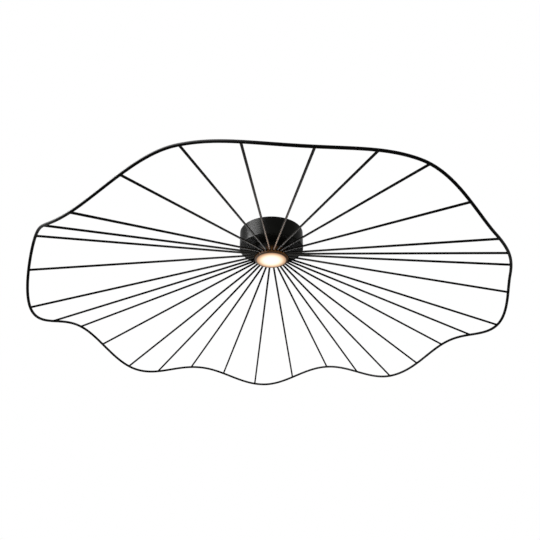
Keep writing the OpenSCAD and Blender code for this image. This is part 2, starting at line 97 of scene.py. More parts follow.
# From the dark colour to the light one as the factor goes from 0 to 1
def colourBlend(tree, factor, dark, light):
    mix = addNode(tree, "Mix", {"data_type": "RGBA"}, {"Factor": factor})
    mix.inputs[6].default_value = hexColour(dark)
    mix.inputs[7].default_value = hexColour(light)
    return mix.outputs[2]


# A relief whose height goes from 0 to the given millimetres
def bumpFrom(tree, height, heightMm):
    bump = addNode(tree, "Bump", {}, {"Height": height, "Distance": heightMm * mm, "Strength": 1.0})
    return bump.outputs["Normal"]


glossPerGrain = 4  # the patches of more and less gloss are this many grains wide


# A colour that clouds from dark to light, a roughness that varies in patches, and a fine relief
def cloudedFinish(tree, shader, place, look):
    cloud = grain(tree, place, look["cloudMm"], 0.0, 1.0)
    tree.links.new(colourBlend(tree, cloud, look["dark"], look["light"]), shader.inputs["Base Color"])
    gloss = grain(tree, place, look["grainMm"] * glossPerGrain, *look["rough"])
    tree.links.new(gloss, shader.inputs["Roughness"])
    relief = grain(tree, place, look["grainMm"], 0.0, 1.0, 1.0)
    tree.links.new(bumpFrom(tree, relief, look["reliefMm"]), shader.inputs["Normal"])


# A whole material of that kind, its pattern drawn out where the look says so
def plainFinish(name, look):
    material, tree, shader, place = startMaterial(name, look.get("shader", {}))
    cloudedFinish(tree, shader, stretched(tree, place, look.get("stretch", (1, 1, 1))), look)
    return material


# Powder coat on pressed steel, sprayed and baked: near black and satin. Its orange peel is low and wide,
# so a highlight keeps its shape and only its edge looks soft. The black coats have a very low specular level,
# which keeps them as deep as the real ones in front of a white background.
canopyCoat = {"dark": "#0c0c0b", "light": "#11110f", "shader": {"Specular IOR Level": 0.016},
              "rough": (0.30, 0.33), "grainMm": 2.4, "reliefMm": 0.002, "cloudMm": 30}

# The same powder on the thin rod, where it lies thinner and closer to the steel
rodCoat = {"dark": "#040404", "light": "#080807", "shader": {"Specular IOR Level": 0.018},
           "rough": (0.48, 0.54), "grainMm": 2.0, "reliefMm": 0.002, "cloudMm": 40}

# Powder over a weld: it fills the ripples and shines a little more on the bead
weldCoat = {"dark": "#0b0b0b", "light": "#131312", "shader": {"Specular IOR Level": 0.04},
            "rough": (0.28, 0.34), "grainMm": 1.0, "reliefMm": 0.004, "cloudMm": 6}

# Near the lit disc the coat on the drum and the bezel glows warm brown. This is painted light from the disc,
# drawn as emission on the coat.
drumPaintedGlow = {"mouth": -70 * mm, "reach": 20 * mm, "colour": "#4c3015", "level": 1.0, "bezelGlowLevel": 0.4}


# The painted glow falls from its level at the drum's mouth to nothing at its reach above it
def paintedGlowDrumCoat(name, look, paintedGlowLook):
    material, tree, shader, place = startMaterial(name, look["shader"])
    cloudedFinish(tree, shader, place, look)
    height = addNode(tree, "SeparateXYZ", {}, {"Vector": place}).outputs["Z"]
    near = addNode(tree, "MapRange", {"interpolation_type": "SMOOTHERSTEP"},
                   {"Value": height, "From Min": paintedGlowLook["mouth"],
                    "From Max": paintedGlowLook["mouth"] + paintedGlowLook["reach"],
                    "To Min": paintedGlowLook["level"], "To Max": 0.0}).outputs["Result"]
    shader.inputs["Emission Color"].default_value = hexColour(paintedGlowLook["colour"])
    tree.links.new(near, shader.inputs["Emission Strength"])
    return material


# Opal acrylic, moulded, lit from behind: even and white in the middle, cream and then peach where the
# light has further to go through the wall
opalDisc = {"radius": 34.3 * mm, "glow": 1.0, "unlit": "#3a342c", "rough": 0.35, "specular": 0.3,
            "stops": [(0.0, "#ffffff"), (0.5, "#fffdf2"), (0.62, "#fdf3d8"), (0.7, "#f8e6c4"),
                      (0.77, "#efd0ac"), (0.84, "#dfb28b"), (0.91, "#c89a73"), (0.965, "#a07b5a"),
                      (1.0, "#5e4230")]}


# The colour of the glow follows the distance from the disc's middle, as a share of its radius
def litOpal(name, look):
    material, tree, shader, place = startMaterial(name, {
        "Base Color": hexColour(look["unlit"]), "Roughness": look["rough"],
        "Specular IOR Level": look["specular"], "Emission Strength": look["glow"]})
    flat = addNode(tree, "VectorMath", {"operation": "MULTIPLY"}, {0: place, 1: (1, 1, 0)}).outputs[0]
    out = addNode(tree, "VectorMath", {"operation": "LENGTH"}, {0: flat}).outputs["Value"]
    share = addNode(tree, "Math", {"operation": "DIVIDE"}, {0: out, 1: look["radius"]}).outputs[0]
    ramp = addNode(tree, "ValToRGB", {}, {"Fac": share})
    marks = ramp.color_ramp.elements
    while len(marks) < len(look["stops"]):
        marks.new(0.5)
    for mark, (at, code) in zip(marks, look["stops"]):
        mark.position = at
        mark.color = hexColour(code)
    tree.links.new(ramp.outputs["Color"], shader.inputs["Emission Color"])
    return material


# Electro-zinc plate on steel, clear passivated: a soft blue-grey metal, drawn slightly along the strip
zincPlate = {"dark": "#9ea4aa", "light": "#c9cdd1", "shader": {"Metallic": 1.0}, "rough": (0.28, 0.44),
             "grainMm": 0.8, "reliefMm": 0.004, "cloudMm": 9, "stretch": (0.25, 1, 1)}

# The same plate on turned nuts, washers and screws: brighter, with the marks of the tool round it
zincTurned = {"dark": "#adb2b7", "light": "#d6d9dc", "shader": {"Metallic": 1.0}, "rough": (0.2, 0.32),
              "grainMm": 0.4, "reliefMm": 0.003, "cloudMm": 4, "stretch": (1, 1, 3)}

# Brass, turned and left bare: yellow, with darker spots where fingers have touched it
bareBrass = {"dark": "#a8843c", "light": "#d7b25e", "shader": {"Metallic": 1.0}, "rough": (0.22, 0.38),
             "grainMm": 0.5, "reliefMm": 0.004, "cloudMm": 3}

# Flame-proof ABS of the supply, moulded in a spark-eroded tool: warm white with a fine matt grain
supplyAbs = {"dark": "#dfddd5", "light": "#e9e7df", "shader": {"IOR": 1.54}, "rough": (0.48, 0.6),
             "grainMm": 0.7, "reliefMm": 0.02, "cloudMm": 25}

# Polyamide of the terminal block, moulded: milky and a little glossy
blockNylon = {"dark": "#e2e1dc", "light": "#efeeea", "shader": {"IOR": 1.53, "Subsurface Weight": 0.1},
              "rough": (0.34, 0.44), "grainMm": 1.0, "reliefMm": 0.01, "cloudMm": 12}

# White polycarbonate of the reflector, moulded in a polished tool: bright and glossy
reflectorPlastic = {"dark": "#f2f1ed", "light": "#f8f7f4", "shader": {"IOR": 1.58}, "rough": (0.18, 0.26),
                    "grainMm": 1.5, "reliefMm": 0.004, "cloudMm": 15}

# White solder mask on an aluminium board, screened and cured: flat white with a low wave from the screen
boardMask = {"dark": "#e6e8e6", "light": "#f3f4f2", "shader": {"IOR": 1.5}, "rough": (0.3, 0.4),
             "grainMm": 0.6, "reliefMm": 0.006, "cloudMm": 10}

# Phosphor in clear silicone over the chips, dispensed: yellow, with a grain from the powder in it
chipPhosphor = {"dark": "#d9b62a", "light": "#f0d24c", "shader": {"IOR": 1.43, "Subsurface Weight": 0.2},
                "rough": (0.3, 0.45), "grainMm": 0.2, "reliefMm": 0.01, "cloudMm": 1}

# Silicone pad filled with ceramic, cut from sheet: pale blue-grey, dry and matt, with a fine grain in it
padSilicone = {"dark": "#8f9dab", "light": "#a9b4bf", "shader": {"IOR": 1.41}, "rough": (0.6, 0.75),
               "grainMm": 0.5, "reliefMm": 0.02, "cloudMm": 6}

# PVC round solid copper, extruded: nearly even colour, a low gloss, and a faint unevenness of the skin
leadPvc = {"shader": {"IOR": 1.52}, "rough": (0.3, 0.42), "grainMm": 0.9, "reliefMm": 0.01, "cloudMm": 8}
leadColours = {"live_lead": ("#5a3019", "#6b3c22"), "neutral_lead": ("#1c53a8", "#2863bd"),
               "led_lead_plus": ("#a3161b", "#b82127"), "led_lead_minus": ("#141415", "#202021")}

# The earth lead is green with two yellow stripes along it, each this share of half its way round
earthPvc = {"green": "#2c8a36", "yellow": "#e2cf2a", "stripes": 2.0, "stripe": 0.34}


# The UV runs from 0 to 1 round the lead, so its X tells the stripes apart
def stripedEarthPvc(name, look, stripes):
    material, tree, shader, place = startMaterial(name, look["shader"])
    cloudedFinish(tree, shader, place, dict(look, dark=stripes["green"], light=stripes["green"]))
    uv = addNode(tree, "UVMap", {}, {}).outputs["UV"]
    around = addNode(tree, "SeparateXYZ", {}, {"Vector": uv}).outputs["X"]
    turns = addNode(tree, "Math", {"operation": "MULTIPLY"}, {0: around, 1: stripes["stripes"]}).outputs[0]
    part = addNode(tree, "Math", {"operation": "FRACT"}, {0: turns}).outputs[0]
    inStripe = addNode(tree, "Math", {"operation": "LESS_THAN"}, {0: part, 1: stripes["stripe"]}).outputs[0]
    colour = colourBlend(tree, inStripe, stripes["green"], stripes["yellow"])
    tree.links.new(colour, shader.inputs["Base Color"])
    return material


blackCanopyMetal = plainFinish("blackCanopyPowderCoat", canopyCoat)
# The drum and the bezel carry the disc's light as a painted glow in their coat
blackDrumMetalPaintedGlow = paintedGlowDrumCoat("blackDrumCoatPaintedGlow", canopyCoat, drumPaintedGlow)
blackBezelMetalPaintedGlow = paintedGlowDrumCoat("blackBezelCoatPaintedGlow", canopyCoat,
                               dict(drumPaintedGlow, level=drumPaintedGlow["bezelGlowLevel"]))
blackRodMetal = plainFinish("blackRodPowderCoat", rodCoat)
blackWeldMetal = plainFinish("blackWeldPowderCoat", weldCoat)
opalPlastic = litOpal("litOpalAcrylic", opalDisc)
zincStrip = plainFinish("zincPlatedStrip", zincPlate)
zincFixing = plainFinish("zincPlatedFixing", zincTurned)
brassMetal = plainFinish("turnedBrass", bareBrass)
supplyPlastic = plainFinish("supplyAbs", supplyAbs)
blockPlastic = plainFinish("terminalPolyamide", blockNylon)
whiteReflector = plainFinish("reflectorPolycarbonate", reflectorPlastic)
whiteMask = plainFinish("boardSolderMask", boardMask)
yellowPhosphor = plainFinish("chipPhosphor", chipPhosphor)
greyPad = plainFinish("padSilicone", padSilicone)
leadMaterials = {node: plainFinish(node + "Pvc", dict(leadPvc, dark=dark, light=light))
                 for node, (dark, light) in leadColours.items()}
leadMaterials["earth_lead"] = stripedEarthPvc("earthLeadPvc", leadPvc, earthPvc)


# Puts one material in every slot of the named nodes
def dress(names, material):
    for name in names:
        mesh = nodes[name].data
        for slot in range(len(mesh.materials)):
            mesh.materials[slot] = material


rodNames = sorted(n for n in nodes if n.startswith("wire_"))
dress(["canopy"], blackCanopyMetal)
dress(["hub_drum"], blackDrumMetalPaintedGlow)
dress(["bezel"], blackBezelMetalPaintedGlow)
dress(rodNames, blackRodMetal)
dress(["diffuser"], opalPlastic)
dress(["reflector"], whiteReflector)
dress(["led_board"], whiteMask)
dress(["led_chips"], yellowPhosphor)
dress(["thermal_pad"], greyPad)
dress(["ceiling_bracket"], zincStrip)
dress(["board_screws", "tube_washers", "tube_nuts", "driver_nuts", "terminal_fixing_screws", "earth_screw"],
      zincFixing)
dress(["terminal_screws", "earth_ring"], brassMetal)
dress(["driver_case", "driver_lid"], supplyPlastic)
dress(["terminal_block"], blockPlastic)
print("materials: dressed", len(nodes), "nodes")


sharpAngle = 38  # degrees between faces, above which the edge between them stays sharp


# A piece from grids of points in millimetres: copies, then rows along, then columns round. Columns close on
# themselves. Rows close too on a ring, and otherwise each end gets one flat face. The UV map runs from 0 to 1
# round the columns and along the rows.
def gridPiece(name, grids, ring, material):
    copies, rows, cols = grids.shape[:3]
    number = np.arange(copies * rows * cols).reshape(copies, rows, cols)
    last = rows if ring else rows - 1
    here, along = number[:, :last], np.roll(number, -1, axis=1)[:, :last]
    quads = np.stack([here, np.roll(here, -1, axis=2), np.roll(along, -1, axis=2), along], axis=-1)
    faces = quads.reshape(-1, 4).tolist()
    row, col = np.meshgrid(np.arange(last) / last, np.arange(cols) / cols, indexing="ij")
    u = np.stack([col, col + 1 / cols, col + 1 / cols, col], axis=-1)
    v = np.stack([row, row, row + 1 / last, row + 1 / last], axis=-1)
    uv = np.tile(np.stack([u, v], axis=-1).reshape(-1, 2), (copies, 1))
    if not ring:
        faces += number[:, 0, ::-1].tolist() + number[:, -1].tolist()
        uv = np.vstack([uv, np.zeros((2 * copies * cols, 2))])
    mesh = bpy.data.meshes.new(name)
    mesh.from_pydata((grids.reshape(-1, 3) * mm).tolist(), [], faces)
    mesh.uv_layers.new(name="UVMap").data.foreach_set("uv", uv.ravel())
    mesh.shade_smooth()
    mesh.set_sharp_from_angle(angle=math.radians(sharpAngle))
    mesh.materials.append(material)
    piece = bpy.data.objects.new(name, mesh)
    scene.collection.objects.link(piece)
    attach(piece, "root")
    return piece


# Each vector over its own length
def unit(vectors):
    return vectors / np.linalg.norm(vectors, axis=-1, keepdims=True)


# Rings of a round bar along a run of points: at each point the ring is the centre plus the radius times
# the cosine of its angle along the side, and the sine along the direction square to side and run
def barRings(points, run, side, radius, cols):
    side = unit(side - (side * run).sum(-1, keepdims=True) * run)[..., None, :]
    other = np.cross(run[..., None, :], side)
    turn = (np.arange(cols) / cols * 2 * np.pi)[:, None]
    return points[..., None, :] + radius * (np.cos(turn) * side + np.sin(turn) * other)


# The hoop's run in millimetres, the same as in the part's source: eight uneven crests and dips. How far each
# stands up, outwards and along, in steps between rods, comes from a fit to the photograph's lines, rounded.
hoop = {"radius": 500, "bar": 5.5, "seat": -65, "crestDrop": 96, "waveDrop": 42, "firstAzimuth": 253.125,
        "crestUp": [24, 15, -19, -23, -3, -13, -5, 6], "dipUp": [38, 8, -11, -19, -8, -17, -15, -2],
        "crestOut": [-6, 5, -6, -3, 6, 0, -1, -1], "dipOut": [6, -6, 6, 5, 1, -6, 6, 6],
        "crestAlong": [0, -0.1, 0.1, -0.2, -0.1, -0.4, -0.3, 0], "rodsPerWave": 4,
        "ringsPerRod": 36, "cols": 24}

# The rods in millimetres, and the degrees by which each is shifted from its even place, from the same fit
rods = {"bar": 4.5, "drumRadius": 38.5,
        "shift": [0.5, 0.5, 1.5, 1.5, 1, 1, 2.5, -0.5, -4.5, -3, -1, 0, 0.5, 0, -1, -1,
                  -2, -1.5, 0, -0.5, -0.5, 0, -0.5, -1, -2.5, -1.5, 1, 1, 1, -1, 0.5, 0.5]}
rodCount = len(rods["shift"])
pitch = 360 / rodCount


# A value on the wave at u rods along the hoop: from each crest to the next it goes down to the dip's value
# and back on a full cosine
def wave(u, crest, dip):
    waves = rodCount // hoop["rodsPerWave"]
    u = np.mod(u, rodCount)
    starts = np.arange(waves) * hoop["rodsPerWave"] + np.array(hoop["crestAlong"])
    edges = np.append(starts, rodCount + starts[0])
    lobe = np.searchsorted(starts, u, side="right") - 1
    share = (u - edges[lobe]) / (edges[lobe + 1] - edges[lobe])
    crest, dip = np.array(crest, float), np.array(dip, float)
    top = np.where(share < 0.5, crest[lobe], np.roll(crest, -1)[lobe])
    return top + (dip[lobe] - top) * (1 - np.cos(2 * np.pi * share)) / 2


# The middle of the hoop's bar at u rods along it: round the axis by u pitches, out by the radius and its
# wave, and down from the seats by the drop and its wave
def hoopPoint(u):
    out = hoop["radius"] + wave(u, hoop["crestOut"], hoop["dipOut"])
    dips = np.array(hoop["dipUp"]) - hoop["waveDrop"]
    up = hoop["seat"] - hoop["crestDrop"] + wave(u, hoop["crestUp"], dips)
    angle = np.radians(hoop["firstAzimuth"] + pitch * u)
    return np.stack([out * np.cos(angle), out * np.sin(angle), up], axis=-1)


# The hoop's direction, from the points a small step before and after
def hoopRun(u, step=0.05):
    return unit(hoopPoint(u + step) - hoopPoint(u - step))


# The level direction away from the light's axis
def outwards(points):
    return unit(points * (1, 1, 0))


# Steel bar bent into a wavy ring, with its ends welded together
hoopAt = np.arange(rodCount * hoop["ringsPerRod"]) / hoop["ringsPerRod"]
hoopLine = hoopPoint(hoopAt)
hoopRings = barRings(hoopLine, hoopRun(hoopAt), outwards(hoopLine), hoop["bar"] / 2, hoop["cols"])
hoopBar = gridPiece("hoop", hoopRings[None], True, blackRodMetal)
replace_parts(hoopBar, "rim")

# The butt weld of the hoop's ends, ground down to a low band between two rods at the back, in millimetres
# but for its place, which is counted in rods
buttWeld = {"at": 15.6, "width": 4.0, "proud": 0.12, "sunk": 0.4, "rows": 13, "cols": 32}


# A low band round the bar: its radius rises over the bar's skin and falls again as the root of a half sine
def buttWeldBand(look):
    middle, run = hoopPoint(np.array([look["at"]])), hoopRun(np.array([look["at"]]))
    share = np.linspace(0, 1, look["rows"])
    points = middle + (share[:, None] - 0.5) * look["width"] * run
    radius = hoop["bar"] / 2 - look["sunk"] + (look["sunk"] + look["proud"]) * np.sin(np.pi * share) ** 0.5
    rings = barRings(points, np.repeat(run, look["rows"], axis=0), outwards(points), 1.0, look["cols"])
    return points[:, None] + (rings - points[:, None]) * radius[:, None, None]


gridPiece("hoopButtWeld", buttWeldBand(buttWeld)[None], False, blackWeldMetal)
print("hoop: swept", len(hoopAt), "rings")

# Fillet welds at both ends of each rod. Across the hoop's thin bar the toe is narrow, and round the drum's
# wide wall it has more room.
filletWeld = {"toeAlong": 1.1, "hoopToeAcross": 0.35, "drumToeAcross": 0.8, "height": 1.5, "rise": 1.4,
              "sunk": 0.7, "ripples": 14, "ripple": 0.04, "steps": 8, "cols": 84}


# A fillet round a bar where it meets another: the toe lies where a wider ring round the bar cuts the other
# bar's skin, and a hollow curve leads from it up to the bar. Its distance from the bar falls as the square of
# what is left of the way, and its height grows as a power of the way. The profile closes inside both bars.
def filletRings(start, run, axisPoint, axis, radius, toeAcross, towards, look):
    turn = np.arange(look["cols"]) / look["cols"] * 2 * np.pi
    side = unit(axis - (axis * run).sum(-1, keepdims=True) * run)
    other = np.cross(run, side)
    around = np.cos(turn)[:, None] * side[:, None] + np.sin(turn)[:, None] * other[:, None]
    barRadius = rods["bar"] / 2
    toe = barRadius + np.hypot(look["toeAlong"] * np.cos(turn), toeAcross * np.sin(turn))
    toe = toe + look["ripple"] * np.sin(look["ripples"] * turn)
    reach = (start - axisPoint)[:, None] + toe[:, None] * around
    flat = reach - (reach * axis[:, None]).sum(-1, keepdims=True) * axis[:, None]
    slope = run - (run * axis).sum(-1, keepdims=True) * axis
    a = (slope * slope).sum(-1)[:, None]
    b = (flat * slope[:, None]).sum(-1)
    c = (flat * flat).sum(-1) - radius ** 2
    meet = (-b + towards * np.sqrt(np.maximum(b * b - a * c, 0))) / a
    steps = np.linspace(0, 1, look["steps"])
    outs = [barRadius + (toe - barRadius) * (1 - s) ** 2 for s in steps]
    ups = [meet + towards * look["height"] * s ** look["rise"] for s in steps]
    outs += [np.full_like(toe, barRadius - look["sunk"]), toe - look["sunk"]]
    ups += [meet + towards * look["height"], meet - towards * look["sunk"]]
    rows = [start[:, None] + up[..., None] * run[:, None] + out[None, :, None] * around
            for out, up in zip(outs, ups)]
    return np.stack(rows[::int(towards)], axis=1)


rodAt = np.arange(rodCount) + np.array(rods["shift"]) / pitch
rodEnd, rodEndRun = hoopPoint(rodAt), hoopRun(rodAt)
seats = outwards(rodEnd) * rods["drumRadius"] + (0, 0, hoop["seat"])
rodRun = unit(rodEnd - seats)
upright = np.tile([0.0, 0.0, 1.0], (rodCount, 1))
hoopWelds = filletRings(rodEnd, rodRun, rodEnd, rodEndRun, hoop["bar"] / 2, filletWeld["hoopToeAcross"], -1,
                        filletWeld)
drumWelds = filletRings(seats, rodRun, seats * (0, 0, 1), upright, rods["drumRadius"],
                        filletWeld["drumToeAcross"], 1, filletWeld)
gridPiece("hoopWelds", hoopWelds, True, blackWeldMetal)
gridPiece("drumWelds", drumWelds, True, blackWeldMetal)
print("welds:", 2 * rodCount, "fillets")

# A thread's crests are cut down by this share of its depth all along
crestCut = 0.25

# The threaded tube that hangs the drum, in millimetres, between its ends in the frame
hangerTube = {"bore": 3.5, "pitch": 1.0, "depth": 0.5, "rowsPerTurn": 8, "cols": 48, "fade": 0.8}


# A screw thread: the radius falls by the depth on a cosine of the height over the pitch less the angle's
# share of a turn, and the groove fades out at both ends
def threadRadius(height, turn, low, high, radius, look):
    fade = np.clip(np.minimum(height - low, high - height) / look["fade"], 0, 1)
    phase = 2 * np.pi * height / look["pitch"] - turn
    return radius - look["depth"] * (crestCut + (1 - crestCut) * fade * (0.5 - 0.5 * np.cos(phase)))


# Rings up the outside of the tube, and two more down its bore
def threadedTube(look):
    low, high = np.array(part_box("hub_tube")) / mm
    radius = (high[0] - low[0]) / 2
    rows = int((high[2] - low[2]) / look["pitch"] * look["rowsPerTurn"]) + 1
    height = np.linspace(low[2], high[2], rows)
    turn = np.arange(look["cols"]) / look["cols"] * 2 * np.pi
    zz, tt = np.meshgrid(height, turn, indexing="ij")
    rr = threadRadius(zz, tt, low[2], high[2], radius, look)
    outer = np.stack([rr * np.cos(tt), rr * np.sin(tt), zz], axis=-1)
    ends, endTurn = np.meshgrid([high[2], low[2]], turn, indexing="ij")
    bore = np.stack([look["bore"] * np.cos(endTurn), look["bore"] * np.sin(endTurn), ends], axis=-1)
    return np.concatenate([outer, bore])


tube = gridPiece("hangerTube", threadedTube(hangerTube)[None], True, zincFixing)
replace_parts(tube, "hub_tube")

# The two headless screws in the canopy's side, with a hexagon socket and a cone point, in millimetres
grubScrew = {"length": 9.0, "radius": 2.0, "pitch": 0.7, "depth": 0.3, "rowsPerTurn": 8, "cols": 48,
             "fade": 0.5, "point": 1.0, "pointRadius": 0.9, "socket": 1.0, "socketDepth": 2.2,
             "chamfer": 0.25, "sink": 0.2, "height": -10.0}


# Rows of rings along the screw: the point, the thread, a small chamfer, and then the hexagon of the socket,
# whose radius is half its width over the cosine of the angle from the nearest flat
def grubScrewRings(look):
    turn = np.arange(look["cols"]) / look["cols"] * 2 * np.pi
    height = np.arange(look["point"], look["length"] - look["chamfer"], look["pitch"] / look["rowsPerTurn"])
    zz, tt = np.meshgrid(height, turn, indexing="ij")
    shank = threadRadius(zz, tt, look["point"], look["length"], look["radius"], look)
    hexagon = look["socket"] / np.cos(np.mod(turn, np.pi / 3) - np.pi / 6)
    full = np.ones_like(turn)
    face = full * (look["radius"] - look["chamfer"])
    radii = np.vstack([[full * look["pointRadius"]], shank, [face, hexagon, hexagon]])
    top = look["length"]
    heights = np.concatenate([[0.0], height, [top, top, top - look["socketDepth"]]])
    return radii, heights, turn


# Both screws lie along X, their sockets just inside the canopy's outer face
def grubScrews(look):
    radii, heights, turn = grubScrewRings(look)
    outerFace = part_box("canopy")[1][0] / mm
    along = outerFace - look["sink"] - look["length"] + np.repeat(heights[:, None], look["cols"], axis=1)
    across, up = radii * np.cos(turn), radii * np.sin(turn)
    right = np.stack([along, across, up + look["height"]], axis=-1)
    left = np.stack([-along, -across, up + look["height"]], axis=-1)
    return np.stack([right, left])


screws = gridPiece("grubScrews", grubScrews(grubScrew), False, blackCanopyMetal)
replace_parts(screws, "canopy_screws")

# Hexagon nuts, turned at both faces, in millimetres. The bore is a radius, the chamfer a share of the flats
# and the cone's angle in degrees. A stacked pair sits one over the other, and the other pair side by side.
tubeNut = {"flats": 14.0, "bore": 5.05, "height": 3.0, "rows": 7, "cols": 96, "chamfer": 0.97,
           "coneAngle": 30, "lead": 0.35, "stacked": True}
supplyNut = {"flats": 5.5, "bore": 1.55, "height": 2.4, "rows": 7, "cols": 96, "chamfer": 0.97,
             "coneAngle": 30, "lead": 0.2, "stacked": False}


# Rings up the outside of a nut and down its bore. Outside, the radius is the hexagon's, half its width over
# the cosine of the angle from the nearest flat, cut by a cone from each face. The bore opens out by its lead
# at both ends.
def nutRings(look, centre):
    turn = np.arange(look["cols"]) / look["cols"] * 2 * np.pi
    half = look["flats"] / 2
    hexagon = half / np.cos(np.mod(turn, np.pi / 3) - np.pi / 6)
    height = look["height"] * (0.5 - 0.5 * np.cos(np.linspace(0, np.pi, look["rows"])))
    slope = math.tan(math.radians(look["coneAngle"]))
    cone = half * look["chamfer"] + np.minimum(height, look["height"] - height) / slope
    outer = np.minimum(hexagon, cone[:, None])
    up = np.array([look["height"], look["height"] - look["lead"], look["lead"], 0.0])
    bore = look["bore"] + look["lead"] * np.array([1.0, 0.0, 0.0, 1.0])
    radius = np.vstack([outer, np.repeat(bore[:, None], look["cols"], axis=1)])
    level = np.repeat(np.concatenate([height, up])[:, None], look["cols"], axis=1)
    return np.array(centre) + np.stack([radius * np.cos(turn), radius * np.sin(turn), level], axis=-1)


# The pair of nuts that takes a node's place, set by the node's own box
def nuts(name, look, node):
    low, high = np.array(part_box(node)) / mm
    middle, spread = (low + high) / 2, (high - low) / 2
    if look["stacked"]:
        centres = [(0, 0, low[2]), (0, 0, high[2] - look["height"])]
    else:
        reach = spread[0] - look["flats"] / math.sqrt(3)
        centres = [(-reach, middle[1], low[2]), (reach, middle[1], low[2])]
    piece = gridPiece(name, np.stack([nutRings(look, c) for c in centres]), True, zincFixing)
    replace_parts(piece, node)


nuts("hangerNuts", tubeNut, "tube_nuts")
nuts("supplyNuts", supplyNut, "driver_nuts")

# The supply's lid, moulded, with a rolled edge and a bare sunk field, in millimetres. Each row is an inset
# and a height.
supplyLid = {"length": 84.0, "width": 30.0, "corner": 2.0, "leastCorner": 0.4, "cornerCols": 9,
             "rows": [(1.7, -1.5), (1.7, 0.0), (0.0, 0.0), (0.0, 1.1), (0.08, 1.45), (0.3, 1.76),
                      (0.62, 1.94), (1.0, 2.0), (4.0, 2.0), (4.15, 1.94), (4.3, 1.7)]}


# A rectangle with round corners: four quarter circles, each about its own corner's middle
def roundedOutline(length, width, corner, cols):
    quarter = np.linspace(0, np.pi / 2, cols)
    turn = np.concatenate([quarter + k * np.pi / 2 for k in range(4)])
    signX, signY = np.repeat([1, -1, -1, 1], cols), np.repeat([1, 1, -1, -1], cols)
    return np.stack([signX * (length / 2 - corner) + corner * np.cos(turn),
                     signY * (width / 2 - corner) + corner * np.sin(turn)], axis=-1)


# Each row is the lid's outline, drawn in by the row's inset, at the row's height over the case. The highest
# row lies at the top of the node's box.
def lidRings(look):
    low, high = np.array(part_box("driver_lid")) / mm
    middle = (low + high) / 2
    seat = high[2] - max(up for inset, up in look["rows"])
    rows = []
    for inset, up in look["rows"]:
        flat = roundedOutline(look["length"] - 2 * inset, look["width"] - 2 * inset,
                              max(look["corner"] - inset, look["leastCorner"]), look["cornerCols"])
        rows.append(np.column_stack([flat + middle[:2], np.full(len(flat), seat + up)]))
    return np.array(rows)


lid = gridPiece("supplyLid", lidRings(supplyLid)[None], False, supplyPlastic)
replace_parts(lid, "driver_lid")
print("fixings: threads cut, nuts turned, lid moulded")

# The leads, in millimetres: their own radius, and the canopy's inner radius where they run along its wall
leadLook = {"radius": 1.1, "cols": 20, "steps": 14, "wall": 72.3}

# Where the leads enter the supply, as Y and Z, and how far into the terminals they reach
supplyLive, supplyNeutral = (32.04, -28.0), (40.04, -34.0)
terminalDepth, terminalMouth, terminalHeight = -25.0, -16.0, -12.0


# A point at a set gap inside the canopy's wall: cosine and sine of its angle times what is left of the radius
def byWall(gap, angle, height):
    turn, out = math.radians(angle), leadLook["wall"] - gap
    return out * math.cos(turn), out * math.sin(turn), height


# The leads' routes, the same as in the part's source. The first three start in the terminals and the other
# two in the supply, and each ends where it is clamped, crimped or soldered.
leadRoutes = {
    "live_lead": ("lead_brown", [
        (-12, terminalDepth, terminalHeight), (-12, terminalMouth, terminalHeight), (-18, -4, -17),
        (-34, 6, -22), (-52, 15, -26), byWall(8.7, 156, supplyLive[1]), (-52, *supplyLive),
        (-41.2, *supplyLive)]),
    "neutral_lead": ("lead_blue", [
        (0, terminalDepth, terminalHeight), (0, terminalMouth, terminalHeight), (-6, -6, -22),
        (-26, 8, -30), (-50, 15, -35), byWall(4.8, 154.5, supplyNeutral[1]), (-52, *supplyNeutral),
        (-41.2, *supplyNeutral)]),
    "earth_lead": ("lead_green", [
        (12, terminalDepth, terminalHeight), (12, terminalMouth - 1, terminalHeight), (13, -13.5, -9),
        (13.8, -11, -6.4), (14, -9.2, -5.9), (14, -7, -5.9)]),
    "led_lead_plus": ("lead_red", [
        (41.2, *supplyLive), (52, *supplyLive), byWall(9.5, 22.5, supplyLive[1]), (46, 10, -26), (26, 4, -24),
        (12, 2, -25), (4, 0.5, -29), (1.5, 0, -35.3), (1.5, 0, -42.3), (1.5, 0, -51.5), (1.5, 0, -53.3)]),
    "led_lead_minus": ("lead_black", [
        (41.2, *supplyNeutral), (52, *supplyNeutral), byWall(5.2, 24.5, supplyNeutral[1]), (50, 6, -33),
        (26, -6, -29), (9, -8, -27), (0, -3, -30), (-1.5, 0, -36.3), (-1.5, 0, -42.3), (-1.5, 0, -51.5),
        (-1.5, 0, -53.3)]),
}


# A smooth run through the points: on each leg the usual cubic through its two ends, whose slope at each is
# half the way from the point before it to the point after it
def smoothRun(points, steps):
    p = np.array([points[0], *points, points[-1]], float)
    s = (np.arange(steps) / steps)[:, None]
    legs = [0.5 * (2 * b + (c - a) * s + (2 * a - 5 * b + 4 * c - d) * s ** 2
                   + (3 * b - a - 3 * c + d) * s ** 3)
            for a, b, c, d in zip(p, p[1:], p[2:], p[3:])]
    return np.vstack([*legs, p[-1:]])


# A side direction for each ring, carried along the run without twist: each is the last one less its share
# along the run. The first is square to the run and to a direction that no lead starts in.
def carriedSides(run):
    sides = [unit(np.cross(run[0], (0.3, 0.2, 1.0)))]
    for direction in run[1:]:
        sides.append(unit(sides[-1] - (sides[-1] @ direction) * direction))
    return np.array(sides)


for node, (slot, route) in leadRoutes.items():
    line = smoothRun(route, leadLook["steps"])
    run = unit(np.gradient(line, axis=0))
    rings = barRings(line, run, carriedSides(run), leadLook["radius"], leadLook["cols"])
    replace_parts(gridPiece(node + "Pvc", rings[None], False, leadMaterials[node]), node)
print("leads:", len(leadRoutes), "drawn")

